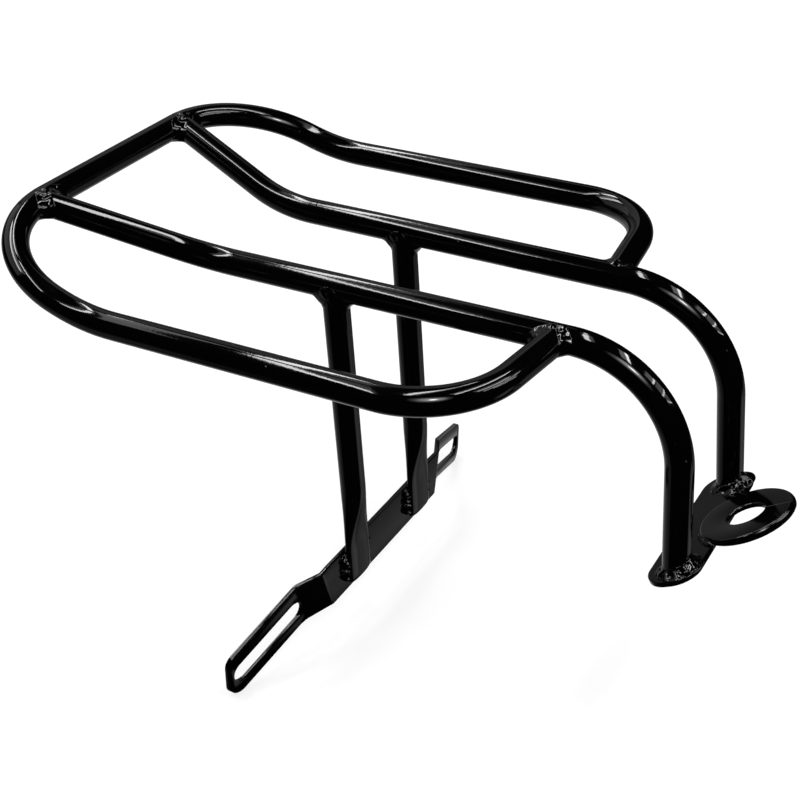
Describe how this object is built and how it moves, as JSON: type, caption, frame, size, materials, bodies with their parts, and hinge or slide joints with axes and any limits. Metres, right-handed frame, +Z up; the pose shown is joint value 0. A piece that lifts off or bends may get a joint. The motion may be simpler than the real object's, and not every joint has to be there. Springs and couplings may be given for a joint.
{
  "type": "luggage rack",
  "caption": "Welded tubular motorcycle luggage rack: rounded deck hoop, two rails bent down to a tilted foot plate with an eye, and two struts to a slotted strap.",
  "frame": {"origin": "middle of the mounting eye's hole, half way through the eye", "axes": "+X forward, +Y to the left, +Z up, with the deck level"},
  "size_m": [0.3685, 0.2356, 0.2216],
  "materials": {
    "tube_coat": "gloss black powder coat",
    "plate_coat": "gloss black powder coat over flat bar, fine orange peel",
    "weld_coat": "gloss black powder coat over rippled weld bead"
  },
  "bodies": {
    "root": {"perimeter_hoop": "tube_coat", "rail_left": "tube_coat", "rail_right": "tube_coat", "strut_left": "tube_coat", "strut_right": "tube_coat", "slotted_strap": "plate_coat", "foot_plate": "plate_coat", "eye_ring": "plate_coat", "rear_weld_left": "weld_coat", "front_weld_left": "weld_coat", "strut_top_weld_left": "weld_coat", "rail_foot_weld_left": "weld_coat", "strut_foot_weld_left_inner": "weld_coat", "strut_foot_weld_left_outer": "weld_coat", "eye_weld_left": "weld_coat", "rear_weld_right": "weld_coat", "front_weld_right": "weld_coat", "strut_top_weld_right": "weld_coat", "rail_foot_weld_right": "weld_coat", "strut_foot_weld_right_inner": "weld_coat", "strut_foot_weld_right_outer": "weld_coat", "eye_weld_right": "weld_coat"}
  },
  "joints": []
}
